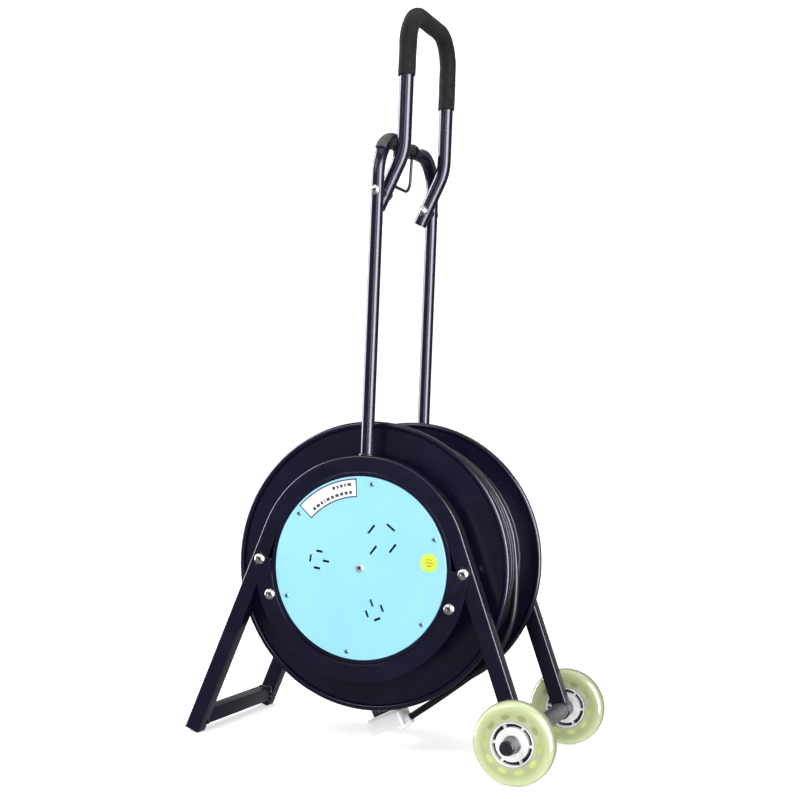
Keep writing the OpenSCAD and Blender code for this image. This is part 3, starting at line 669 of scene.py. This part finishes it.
def socket_panel():
    """The panel with a broad rounded edge round its rim; its slots are not rounded here."""
    source = frame["nodes"]["socket_panel"]
    mesh = source.data.copy()
    work = bmesh.new()
    work.from_mesh(mesh)
    bmesh.ops.remove_doubles(work, verts=work.verts, dist=1e-6)
    bmesh.ops.dissolve_limit(work, angle_limit=math.radians(0.4), verts=work.verts, edges=work.edges)

    def on_edge(vertex):
        away = vertex.co - AXIS
        return math.hypot(away.x, away.z) > PANEL_R - 0.0005 and vertex.co.y < PANEL_FACE + 0.0001

    rim = [edge for edge in work.edges if all(on_edge(v) for v in edge.verts)]
    bmesh.ops.bevel(work, geom=rim, offset=0.0012, segments=3, profile=0.5, affect="EDGES")
    work.to_mesh(mesh)
    work.free()
    mesh.shade_smooth()
    mesh.set_sharp_from_angle(angle=math.radians(32))
    made = bpy.data.objects.new("socket_panel_rounded", mesh)
    bpy.context.collection.objects.link(made)
    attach(made, "drum")
    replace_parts(made, "socket_panel")


socket_panel()

# ---- bolts and screws --------------------------------------------------------------------------


def head_profile(radius, rise, recess, deep, shank, reach):
    """A low domed head with a round recess, on a shank, as (radius, y) pairs towards the front."""
    core = 0.00015
    profile = [(core, -rise + deep), (recess, -rise + deep), (recess, -rise * 0.98)]
    steps = 8
    for k in range(1, steps + 1):
        t = k / steps
        r = recess + (radius - recess) * math.sin(math.pi / 2 * t)
        profile.append((r, -rise * 0.98 * (0.12 + 0.88 * math.cos(math.pi / 2 * t))))
    return profile + [(radius, 0.0), (shank, 0.0), (shank, reach), (core, reach)]


def heads(name, node, places, body, sizes, material=None, slot="bright_zinc"):
    """Stands turned heads in place of a node's plain ones, each with a dark plate of painted shadow in its
    socket. Side is -1 or +1.

    Sizes are head_profile's values: radius, rise, recess, deep, shank and reach.
    """
    profile = head_profile(*sizes)
    turned, socket_shadows = [], []
    for place, side in places:
        verts, faces = lathe(Vector(), profile, 32)
        turned.append(([place + Vector((v.x, -side * v.y, v.z)) for v in verts], faces))
        floor = place + Vector((0, side * (sizes[1] - sizes[3] + 0.0001), 0))
        outline = [floor + Vector((a, 0, b)) for a, b in circle(sizes[2] * 0.97, 6)]
        sunk = [v - Vector((0, side * 0.0003, 0)) for v in outline]
        walls = [(k, (k + 1) % 6, 6 + (k + 1) % 6, 6 + k) for k in range(6)]
        socket_shadows.append((outline + sunk, [tuple(range(6)), tuple(range(11, 5, -1))] + walls))
    verts, faces = join(turned)
    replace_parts(piece(name, verts, faces, body, slot, material, crease=50), node)
    # Dark hexagons of painted shadow at the floor of each socket.
    verts, faces = join(socket_shadows)
    piece(name + "_sockets", verts, faces, body, slot, RECESS)


def hoop_bolts():
    places = [(in_frame(a * x, side * abs(PLATE_FACE), z), side)
              for x, z in HOOP_BOLTS for a in (-1, 1) for side in (-1, 1)]
    heads("button_bolts", "hoop_bolts", places, "stand", (0.0070, 0.0043, 0.0026, 0.0022, 0.0040, 0.0290))


def pivot_bolts():
    places = [(in_frame(0, side * abs(ARCH_FACE), PIVOT_H), side) for side in (-1, 1)]
    sizes = (0.0065, 0.0042, 0.0024, 0.0021, 0.0040, 0.0480)
    heads("pivot_button_bolts", "pivot_bolts", places, "stand", sizes)


def panel_screws():
    turns = [math.radians(25 + 60 * k) for k in range(6)]
    places = [(Vector((AXIS.x + SCREW_PCR * math.cos(a), PANEL_FACE, AXIS.z + SCREW_PCR * math.sin(a))), -1)
              for a in turns]
    sizes = (0.0032, 0.0014, 0.0014, 0.0010, 0.0020, 0.0060)
    heads("flat_screws", "panel_screws", places, "drum", sizes, SCREW)


def centre_rivet():
    reach = extent("tie_rod").y - 0.0032
    heads("centre_tie_rod", "tie_rod", [(Vector((AXIS.x, PANEL_FACE, AXIS.z)), -1)], "drum",
          (0.0055, 0.0016, 0.0023, 0.0012, 0.0040, reach), RIVET)


hoop_bolts()
pivot_bolts()
panel_screws()
centre_rivet()

# ---- weld beads --------------------------------------------------------------------------------


def weld_bead(path, radius, seed):
    """A closed run of weld that swells and dips like overlapping pools."""
    draw = random.Random(seed)
    shift = draw.uniform(0, 9)
    count = len(path)
    verts, faces = [], []
    sides = 8
    for i, point in enumerate(path):
        along = (path[(i + 1) % count] - path[i - 1]).normalized()
        lateral = (point - sum(path, Vector()) / count).normalized()
        third = along.cross(lateral).normalized()
        swell = radius * (0.85 + 0.3 * abs(math.sin(2.2 * i + shift)) + 0.12 * draw.random())
        for a, b in circle(swell, sides):
            verts.append(point + lateral * a + third * b)
    for i in range(count):
        for k in range(sides):
            near, far, after = i * sides, (i + 1) % count * sides, (k + 1) % sides
            faces.append((near + k, near + after, far + after, far + k))
    return verts, faces


def ring_path(centre, normal, radius, steps):
    """Points of a circle round a centre, square to a normal."""
    first = normal.orthogonal().normalized()
    second = normal.cross(first).normalized()
    return [centre + first * a + second * b for a, b in circle(radius, steps)]


def square_path(centre, across, along, half, steps):
    """Points round a square between two directions."""
    corners = [(-1, -1), (1, -1), (1, 1), (-1, 1)]
    points = []
    for (a, b), (c, d) in zip(corners, corners[1:] + corners[:1]):
        for k in range(steps):
            t = k / steps
            points.append(centre + across * half * (a + (c - a) * t) + along * half * (b + (d - b) * t))
    return points


def weld_beads():
    """Beads where the crossbar, the axle tube and the tall handle meet the square tube."""
    bead, bar_half, handle_r, handle_foot_h = 0.0014, 0.0088, 0.0085, 0.1385
    runs = []
    lean_up = in_frame(0, 0, 1) - in_frame(0, 0, 0)
    bar = middle("foot_crossbar")
    inner = FRAME_Y - TUBE / 2
    axle = middle("axle_tube")
    axle_r = extent("axle_tube").x / 2
    for i, sign in enumerate((-1, 1)):
        at_bar = Vector((bar.x, sign * inner, bar.z))
        around_bar = square_path(at_bar, Vector((1, 0, 0)), Vector((0, 0, 1)), bar_half, 9)
        runs.append(weld_bead(around_bar, bead, 3 + i))
        at_axle = Vector((axle.x, sign * inner, axle.z))
        runs.append(weld_bead(ring_path(at_axle, Vector((0, 1, 0)), axle_r, 36), bead, 7 + i))
        foot = in_frame(0, sign * FRAME_Y, handle_foot_h)
        runs.append(weld_bead(ring_path(foot, lean_up, handle_r, 34), bead * 1.1, 11 + i))
    verts, faces = join(runs)
    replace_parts(piece("weld_beads", verts, faces, "stand", "navy_powder_coat", crease=80), "handle_welds")


weld_beads()

# ---- wheels ------------------------------------------------------------------------------------


def wheel_tyre(side):
    """A cast tyre with a crowned tread, rolled shoulders and a raised lip round the hub."""
    half = WHEEL_W / 2
    lip = 0.0008
    profile = [(HUB_R, -half + 0.001), (HUB_R + 0.0006, -half + lip / 2), (HUB_R + 0.003, -half),
               (HUB_R + 0.0045, -half + lip)]
    shoulder = 0.0085
    crown = 0.92
    rim = WHEEL_R - shoulder
    steps = 12
    for k in range(steps + 1):
        angle = math.pi / 2 * k / steps
        y = -half + lip + (half - lip) * (1 - math.cos(angle)) * crown
        profile.append((rim + shoulder * math.sin(angle), y))
    profile += [(r, -y) for r, y in reversed(profile)]
    verts, faces = lathe(middle(side + "_tyre"), profile, 96)
    made = piece(side + "_cast_tyre", verts, faces, side + "_wheel", "clear_tyre", TYRES[side], crease=50)
    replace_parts(made, side + "_tyre")


for side in ("front", "rear"):
    wheel_tyre(side)

# ---- foam grip ---------------------------------------------------------------------------------


def foam_grip():
    """The sleeve's own shape, remeshed fine and given the uneven skin of pressed foam."""
    source = frame["nodes"]["foam_grip"]
    mesh = source.data.copy()
    work = bmesh.new()
    work.from_mesh(mesh)
    bmesh.ops.remove_doubles(work, verts=work.verts, dist=1e-6)
    work.to_mesh(mesh)
    work.free()
    made = bpy.data.objects.new("foam_sleeve", mesh)
    bpy.context.collection.objects.link(made)
    remesh = made.modifiers.new("remesh", "REMESH")
    remesh.mode = "VOXEL"
    remesh.voxel_size = 0.0012
    graph = bpy.context.evaluated_depsgraph_get()
    fine = bpy.data.meshes.new_from_object(made.evaluated_get(graph))
    made.modifiers.clear()
    made.data = fine
    fine.shade_smooth()
    for vertex in fine.vertices:
        swell = noise.noise(vertex.co * 45) * 0.0006 + noise.noise(vertex.co * 330) * 0.00022
        vertex.co += vertex.normal * swell
    fine.materials.clear()
    fine.materials.append(MATERIALS["foam"])
    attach(made, "loop")
    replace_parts(made, "foam_grip")


foam_grip()

# ---- print on the panel ------------------------------------------------------------------------


def flat_shape(outline, y, thick):
    """A thin plate with an outline in the drum's plane, proud of y towards the front."""
    n = len(outline)
    verts = [AXIS + Vector((x, y - AXIS.y, z)) for x, z in outline]
    verts += [v - Vector((0, thick, 0)) for v in verts]
    faces = [tuple(range(n)), tuple(range(2 * n - 1, n - 1, -1))]
    faces += [(k, (k + 1) % n, n + (k + 1) % n, n + k) for k in range(n)]
    return verts, faces


def arc_band(r0, r1, a0, a1, steps=12):
    """Outline of a band between two radii and two angles in degrees."""
    angles = [math.radians(a0 + (a1 - a0) * k / steps) for k in range(steps + 1)]
    outer = [(r1 * math.cos(a), r1 * math.sin(a)) for a in angles]
    inner = [(r0 * math.cos(a), r0 * math.sin(a)) for a in reversed(angles)]
    return outer + inner


def label_print():
    """The label's dark border and plain bars in place of its wording, and the sticker's plain mark."""
    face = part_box("panel_label")[0][1]
    low, high, first, last, edge = 0.087, 0.110, 96, 141, 0.0017
    turn = math.degrees(edge / high)
    thin = 0.0001
    parts = [arc_band(low, low + edge, first, last), arc_band(high - edge, high, first, last),
             arc_band(low, high, first, first + turn, 1), arc_band(low, high, last - turn, last, 1)]
    draw = random.Random(5)
    for row, (r0, r1) in enumerate(((0.0912, 0.0952), (0.1010, 0.1050))):
        angle = first + 4
        while angle < last - 5:
            width = draw.uniform(1.0, 3.2)
            if angle < last - 26 or row == 0:
                parts.append(arc_band(r0, r1, angle, min(angle + width, last - 4), 2))
            angle += width + 1.1
    verts, faces = join([flat_shape(p, face, thin) for p in parts])
    piece("label_bars", verts, faces, "drum", "label", INK)
    mark = middle("panel_sticker") - AXIS
    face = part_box("panel_sticker")[0][1]
    tall = 0.0022
    bars = [[(mark.x + x, mark.z + z) for x, z in ((-w, low), (w, low), (w, low + tall), (-w, low + tall))]
            for w, low in ((0.0042, 0.0028), (0.0056, -0.0010), (0.0034, -0.0048))]
    verts, faces = join([flat_shape(p, face, thin) for p in bars])
    piece("sticker_bars", verts, faces, "drum", "sticker", STICKER_INK)


label_print()

# ---- studio ------------------------------------------------------------------------------------


def studio():
    """A pale floor that curves up into a backdrop, so that no horizon shows."""
    surface = Shader("backdrop")
    tone = surface.mix(surface.noise(3, 2), (0.90, 0.90, 0.90), (0.94, 0.94, 0.94))
    surface.put(tone, "Base Color")
    surface.main.inputs["Roughness"].default_value = 0.9
    surface.main.inputs["Specular IOR Level"].default_value = 0.1
    surface.main.inputs["Emission Color"].default_value = (1, 1, 1, 1)
    surface.main.inputs["Emission Strength"].default_value = 0.5
    back, bend, wide = 3.2, 1.6, 9.0
    line = [(-7.0, 0.0), (back, 0.0)]
    line += [(back + bend * math.sin(a), bend - bend * math.cos(a))
             for a in (math.pi / 2 * k / 16 for k in range(1, 17))]
    line.append((back + bend, 7.0))
    turn = Matrix.Rotation(math.radians(20), 3, "Z")
    verts = [turn @ Vector((x, y, z)) for y, z in line for x in (-wide, wide)]
    faces = [(2 * k, 2 * k + 1, 2 * k + 3, 2 * k + 2) for k in range(len(line) - 1)]
    mesh = bpy.data.meshes.new("backdrop")
    mesh.from_pydata([tuple(v) for v in verts], [], faces)
    mesh.shade_smooth()
    mesh.materials.append(surface.material)
    floor = bpy.data.objects.new("backdrop", mesh)
    bpy.context.collection.objects.link(floor)
    floor.visible_glossy = False


def softbox(name, place, target, size, power, tint=(1, 1, 1), shine_only=False):
    """A soft rectangular light aimed at a point; a shine-only one is seen in reflections alone."""
    data = bpy.data.lights.new(name, "AREA")
    data.shape = "RECTANGLE"
    data.size, data.size_y = size
    data.energy = power
    data.color = tint
    light = bpy.data.objects.new(name, data)
    bpy.context.collection.objects.link(light)
    light.visible_diffuse = not shine_only
    light.visible_transmission = not shine_only
    light.visible_camera = False
    place, target = Vector(place), Vector(target)
    aim = (target - place).to_track_quat("-Z", "Y").to_matrix().to_4x4()
    light.matrix_world = Matrix.Translation(place) @ aim


def lights():
    aim = (0, 0, 0.45)
    lavender = (0.86, 0.84, 1.0)
    softbox("key", (-1.6, -2.6, 2.4), aim, (1.6, 1.6), 62)
    softbox("fill", (1.0, -3.0, 1.2), aim, (0.9, 2.0), 40, (0.97, 0.97, 1.0))
    softbox("top", (0, 0.2, 3.2), (0, 0, 0), (3, 3), 60)
    softbox("stripe_right", (2.2, -1.17, 0.9), aim, (1.6, 2.8), 470, lavender, shine_only=True)
    softbox("stripe_left", (-2.46, 0.3, 0.9), aim, (1.3, 2.8), 210, lavender, shine_only=True)
    world = bpy.data.worlds.new("studio")
    world.use_nodes = True
    world.node_tree.nodes["Background"].inputs["Color"].default_value = (0.97, 0.98, 1.0, 1)
    world.node_tree.nodes["Background"].inputs["Strength"].default_value = 0.3
    bpy.context.scene.world = world
    bpy.context.scene.view_settings.view_transform = "Standard"


studio()
lights()
